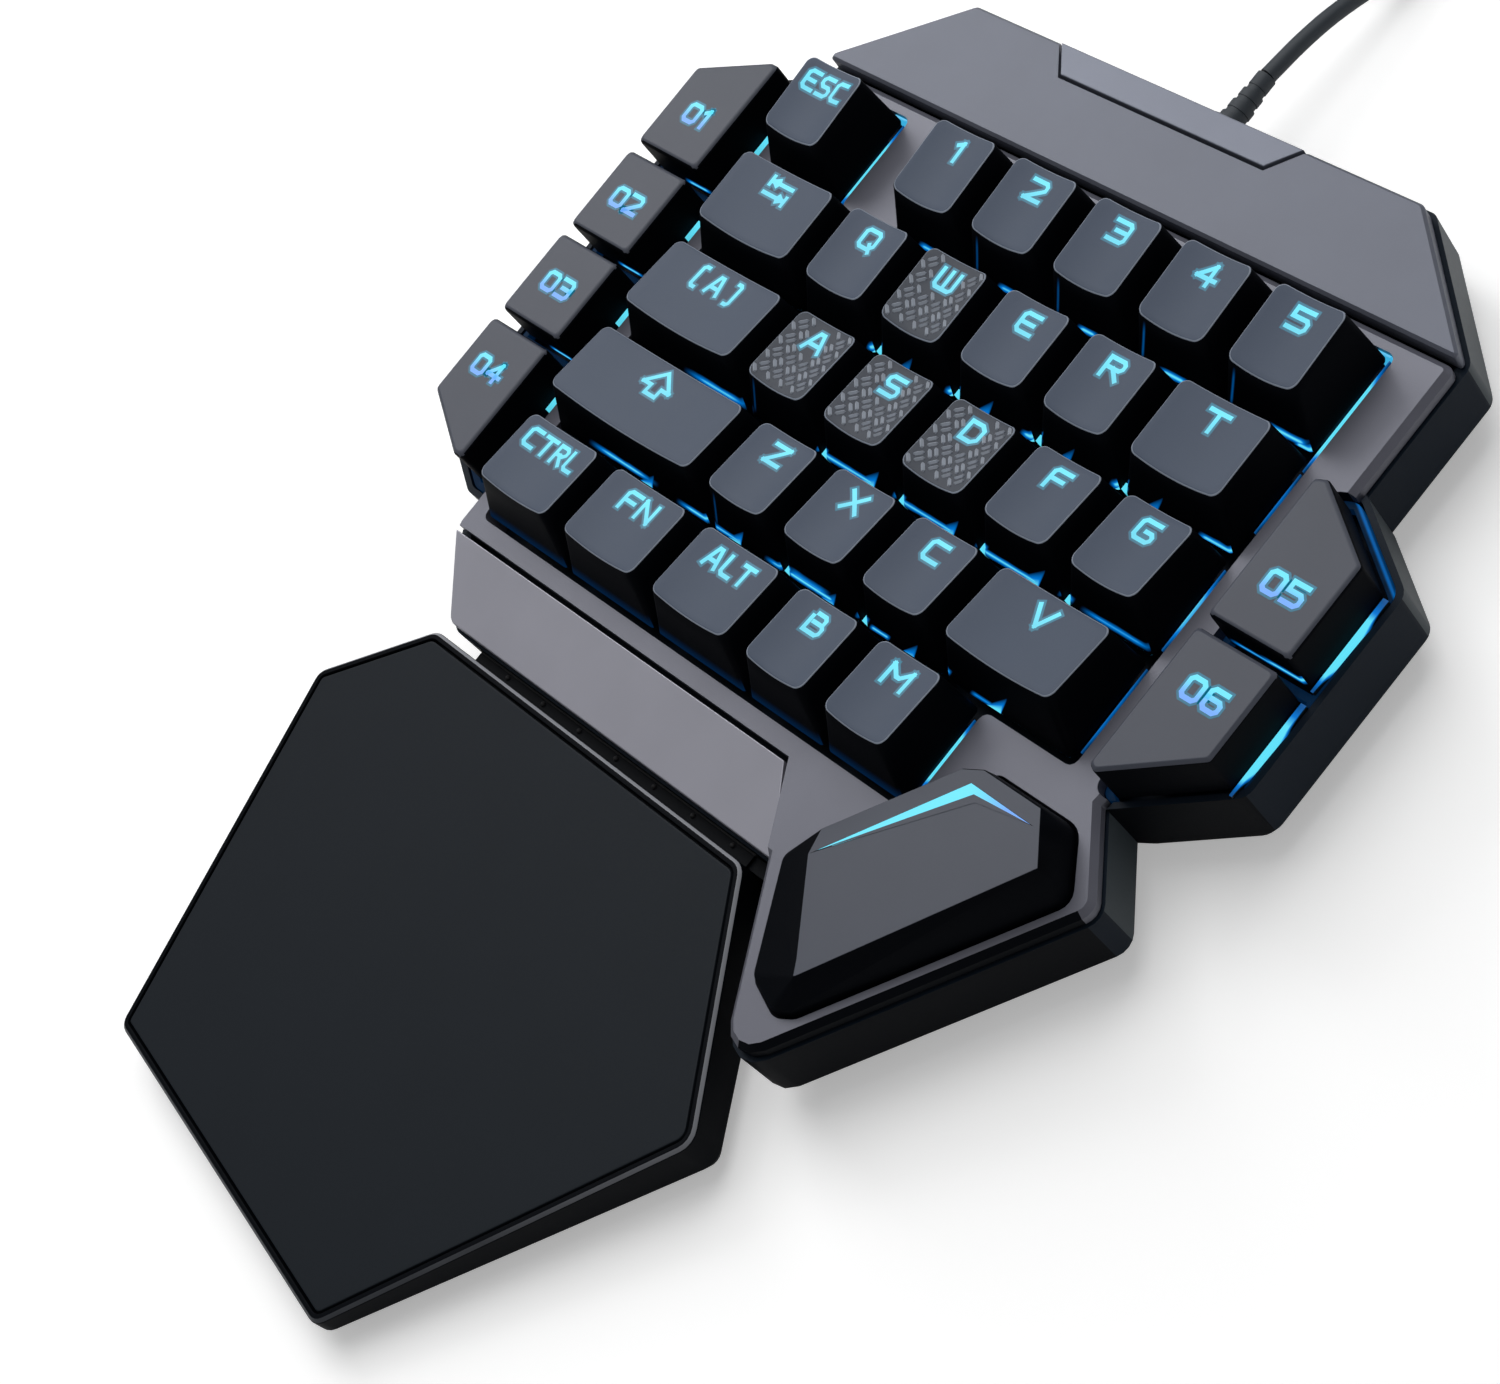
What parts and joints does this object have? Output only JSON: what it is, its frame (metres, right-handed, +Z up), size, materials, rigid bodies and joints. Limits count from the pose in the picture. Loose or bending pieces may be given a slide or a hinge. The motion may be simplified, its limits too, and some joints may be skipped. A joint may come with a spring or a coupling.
{
  "type": "gaming keypad",
  "caption": "One-handed gaming keypad: sculpted keys that press down, banks of macro keys, a thumb key, lit gaps, a pull-off palm rest and a coiled cable with a plug.",
  "frame": {"origin": "on the desk surface, under the middle of the keypad and its palm rest (free cable left out)", "axes": "+X to the user's right, +Y away from the user to the cable side, +Z up"},
  "size_m": [0.18, 0.3464, 0.0313],
  "materials": {
    "keycap_plastic": "fine satin, dark grey, with legends cut through to the light",
    "key_plastic": "fine satin, dark grey",
    "light_guide": "clear cyan, lit from inside",
    "case_plastic": "satin black",
    "board": "green solder mask",
    "frame_paint": "satin metallic grey paint",
    "trim_paint": "satin silver grey paint",
    "pad": "soft matt skin",
    "rubber": "matt black",
    "strap": "matt black",
    "steel": "plain pressed steel"
  },
  "bodies": {
    "base": {"bottom_case": "case_plastic", "case_foot_1": "rubber", "case_foot_2": "rubber", "case_foot_3": "rubber", "case_foot_4": "rubber", "switch_plate": "case_plastic", "circuit_board": "board", "top_frame": "frame_paint", "rear_panel": "frame_paint", "rear_insert": "trim_paint", "front_panel": "trim_paint", "light_guide_left": "light_guide", "light_guide_right": "light_guide", "strain_relief": "rubber", "cable": "rubber", "cable_coil": "rubber", "cable_tie": "strap", "plug_body": "rubber", "plug_shell": "steel"},
    "key_esc": {"key_esc": "keycap_plastic"},
    "key_1": {"key_1": "keycap_plastic"},
    "key_2": {"key_2": "keycap_plastic"},
    "key_3": {"key_3": "keycap_plastic"},
    "key_4": {"key_4": "keycap_plastic"},
    "key_5": {"key_5": "keycap_plastic"},
    "key_tab": {"key_tab": "keycap_plastic"},
    "key_q": {"key_q": "keycap_plastic"},
    "key_w": {"key_w": "keycap_plastic"},
    "key_e": {"key_e": "keycap_plastic"},
    "key_r": {"key_r": "keycap_plastic"},
    "key_t": {"key_t": "keycap_plastic"},
    "key_caps": {"key_caps": "keycap_plastic"},
    "key_a": {"key_a": "keycap_plastic"},
    "key_s": {"key_s": "keycap_plastic"},
    "key_d": {"key_d": "keycap_plastic"},
    "key_f": {"key_f": "keycap_plastic"},
    "key_g": {"key_g": "keycap_plastic"},
    "key_shift": {"key_shift": "keycap_plastic"},
    "key_z": {"key_z": "keycap_plastic"},
    "key_x": {"key_x": "keycap_plastic"},
    "key_c": {"key_c": "keycap_plastic"},
    "key_v": {"key_v": "keycap_plastic"},
    "key_ctrl": {"key_ctrl": "keycap_plastic"},
    "key_fn": {"key_fn": "keycap_plastic"},
    "key_alt": {"key_alt": "keycap_plastic"},
    "key_b": {"key_b": "keycap_plastic"},
    "key_m": {"key_m": "keycap_plastic"},
    "macro_key_1": {"macro_key_1": "key_plastic"},
    "macro_key_2": {"macro_key_2": "key_plastic"},
    "macro_key_3": {"macro_key_3": "key_plastic"},
    "macro_key_4": {"macro_key_4": "key_plastic"},
    "macro_key_5": {"macro_key_5": "key_plastic"},
    "macro_key_6": {"macro_key_6": "key_plastic"},
    "thumb_key": {"thumb_key": "key_plastic", "thumb_key_light": "light_guide"},
    "palm_rest": {"palm_rest_base": "case_plastic", "palm_rest_pad": "pad", "palm_rest_foot_1": "rubber", "palm_rest_foot_2": "rubber", "palm_rest_foot_3": "rubber"}
  },
  "joints": [
    {"name": "key_esc_press", "type": "slide", "parent": "base", "child": "key_esc", "axis": [0, 0, -1], "range_m": [0, 0.0038], "stiffness_N_per_m": 60, "springref_m": -0.005},
    {"name": "key_1_press", "type": "slide", "parent": "base", "child": "key_1", "axis": [0, 0, -1], "range_m": [0, 0.0038], "stiffness_N_per_m": 60, "springref_m": -0.005},
    {"name": "key_2_press", "type": "slide", "parent": "base", "child": "key_2", "axis": [0, 0, -1], "range_m": [0, 0.0038], "stiffness_N_per_m": 60, "springref_m": -0.005},
    {"name": "key_3_press", "type": "slide", "parent": "base", "child": "key_3", "axis": [0, 0, -1], "range_m": [0, 0.0038], "stiffness_N_per_m": 60, "springref_m": -0.005},
    {"name": "key_4_press", "type": "slide", "parent": "base", "child": "key_4", "axis": [0, 0, -1], "range_m": [0, 0.0038], "stiffness_N_per_m": 60, "springref_m": -0.005},
    {"name": "key_5_press", "type": "slide", "parent": "base", "child": "key_5", "axis": [0, 0, -1], "range_m": [0, 0.0038], "stiffness_N_per_m": 60, "springref_m": -0.005},
    {"name": "key_tab_press", "type": "slide", "parent": "base", "child": "key_tab", "axis": [0, 0, -1], "range_m": [0, 0.0038], "stiffness_N_per_m": 60, "springref_m": -0.005},
    {"name": "key_q_press", "type": "slide", "parent": "base", "child": "key_q", "axis": [0, 0, -1], "range_m": [0, 0.0038], "stiffness_N_per_m": 60, "springref_m": -0.005},
    {"name": "key_w_press", "type": "slide", "parent": "base", "child": "key_w", "axis": [0, 0, -1], "range_m": [0, 0.0038], "stiffness_N_per_m": 60, "springref_m": -0.005},
    {"name": "key_e_press", "type": "slide", "parent": "base", "child": "key_e", "axis": [0, 0, -1], "range_m": [0, 0.0038], "stiffness_N_per_m": 60, "springref_m": -0.005},
    {"name": "key_r_press", "type": "slide", "parent": "base", "child": "key_r", "axis": [0, 0, -1], "range_m": [0, 0.0038], "stiffness_N_per_m": 60, "springref_m": -0.005},
    {"name": "key_t_press", "type": "slide", "parent": "base", "child": "key_t", "axis": [0, 0, -1], "range_m": [0, 0.0038], "stiffness_N_per_m": 60, "springref_m": -0.005},
    {"name": "key_caps_press", "type": "slide", "parent": "base", "child": "key_caps", "axis": [0, 0, -1], "range_m": [0, 0.0038], "stiffness_N_per_m": 60, "springref_m": -0.005},
    {"name": "key_a_press", "type": "slide", "parent": "base", "child": "key_a", "axis": [0, 0, -1], "range_m": [0, 0.0038], "stiffness_N_per_m": 60, "springref_m": -0.005},
    {"name": "key_s_press", "type": "slide", "parent": "base", "child": "key_s", "axis": [0, 0, -1], "range_m": [0, 0.0038], "stiffness_N_per_m": 60, "springref_m": -0.005},
    {"name": "key_d_press", "type": "slide", "parent": "base", "child": "key_d", "axis": [0, 0, -1], "range_m": [0, 0.0038], "stiffness_N_per_m": 60, "springref_m": -0.005},
    {"name": "key_f_press", "type": "slide", "parent": "base", "child": "key_f", "axis": [0, 0, -1], "range_m": [0, 0.0038], "stiffness_N_per_m": 60, "springref_m": -0.005},
    {"name": "key_g_press", "type": "slide", "parent": "base", "child": "key_g", "axis": [0, 0, -1], "range_m": [0, 0.0038], "stiffness_N_per_m": 60, "springref_m": -0.005},
    {"name": "key_shift_press", "type": "slide", "parent": "base", "child": "key_shift", "axis": [0, 0, -1], "range_m": [0, 0.0038], "stiffness_N_per_m": 60, "springref_m": -0.005},
    {"name": "key_z_press", "type": "slide", "parent": "base", "child": "key_z", "axis": [0, 0, -1], "range_m": [0, 0.0038], "stiffness_N_per_m": 60, "springref_m": -0.005},
    {"name": "key_x_press", "type": "slide", "parent": "base", "child": "key_x", "axis": [0, 0, -1], "range_m": [0, 0.0038], "stiffness_N_per_m": 60, "springref_m": -0.005},
    {"name": "key_c_press", "type": "slide", "parent": "base", "child": "key_c", "axis": [0, 0, -1], "range_m": [0, 0.0038], "stiffness_N_per_m": 60, "springref_m": -0.005},
    {"name": "key_v_press", "type": "slide", "parent": "base", "child": "key_v", "axis": [0, 0, -1], "range_m": [0, 0.0038], "stiffness_N_per_m": 60, "springref_m": -0.005},
    {"name": "key_ctrl_press", "type": "slide", "parent": "base", "child": "key_ctrl", "axis": [0, 0, -1], "range_m": [0, 0.0038], "stiffness_N_per_m": 60, "springref_m": -0.005},
    {"name": "key_fn_press", "type": "slide", "parent": "base", "child": "key_fn", "axis": [0, 0, -1], "range_m": [0, 0.0038], "stiffness_N_per_m": 60, "springref_m": -0.005},
    {"name": "key_alt_press", "type": "slide", "parent": "base", "child": "key_alt", "axis": [0, 0, -1], "range_m": [0, 0.0038], "stiffness_N_per_m": 60, "springref_m": -0.005},
    {"name": "key_b_press", "type": "slide", "parent": "base", "child": "key_b", "axis": [0, 0, -1], "range_m": [0, 0.0038], "stiffness_N_per_m": 60, "springref_m": -0.005},
    {"name": "key_m_press", "type": "slide", "parent": "base", "child": "key_m", "axis": [0, 0, -1], "range_m": [0, 0.0038], "stiffness_N_per_m": 60, "springref_m": -0.005},
    {"name": "macro_key_1_press", "type": "slide", "parent": "base", "child": "macro_key_1", "axis": [0, 0, -1], "range_m": [0, 0.003], "stiffness_N_per_m": 70, "springref_m": -0.005},
    {"name": "macro_key_2_press", "type": "slide", "parent": "base", "child": "macro_key_2", "axis": [0, 0, -1], "range_m": [0, 0.003], "stiffness_N_per_m": 70, "springref_m": -0.005},
    {"name": "macro_key_3_press", "type": "slide", "parent": "base", "child": "macro_key_3", "axis": [0, 0, -1], "range_m": [0, 0.003], "stiffness_N_per_m": 70, "springref_m": -0.005},
    {"name": "macro_key_4_press", "type": "slide", "parent": "base", "child": "macro_key_4", "axis": [0, 0, -1], "range_m": [0, 0.003], "stiffness_N_per_m": 70, "springref_m": -0.005},
    {"name": "macro_key_5_press", "type": "slide", "parent": "base", "child": "macro_key_5", "axis": [0, 0, -1], "range_m": [0, 0.003], "stiffness_N_per_m": 70, "springref_m": -0.005},
    {"name": "macro_key_6_press", "type": "slide", "parent": "base", "child": "macro_key_6", "axis": [0, 0, -1], "range_m": [0, 0.003], "stiffness_N_per_m": 70, "springref_m": -0.005},
    {"name": "thumb_key_press", "type": "slide", "parent": "base", "child": "thumb_key", "axis": [0, 0, -1], "range_m": [0, 0.003], "stiffness_N_per_m": 80, "springref_m": -0.005},
    {"name": "palm_rest_pull", "type": "slide", "parent": "base", "child": "palm_rest", "axis": [0, -1, 0], "range_m": [0, 0.03]}
  ]
}
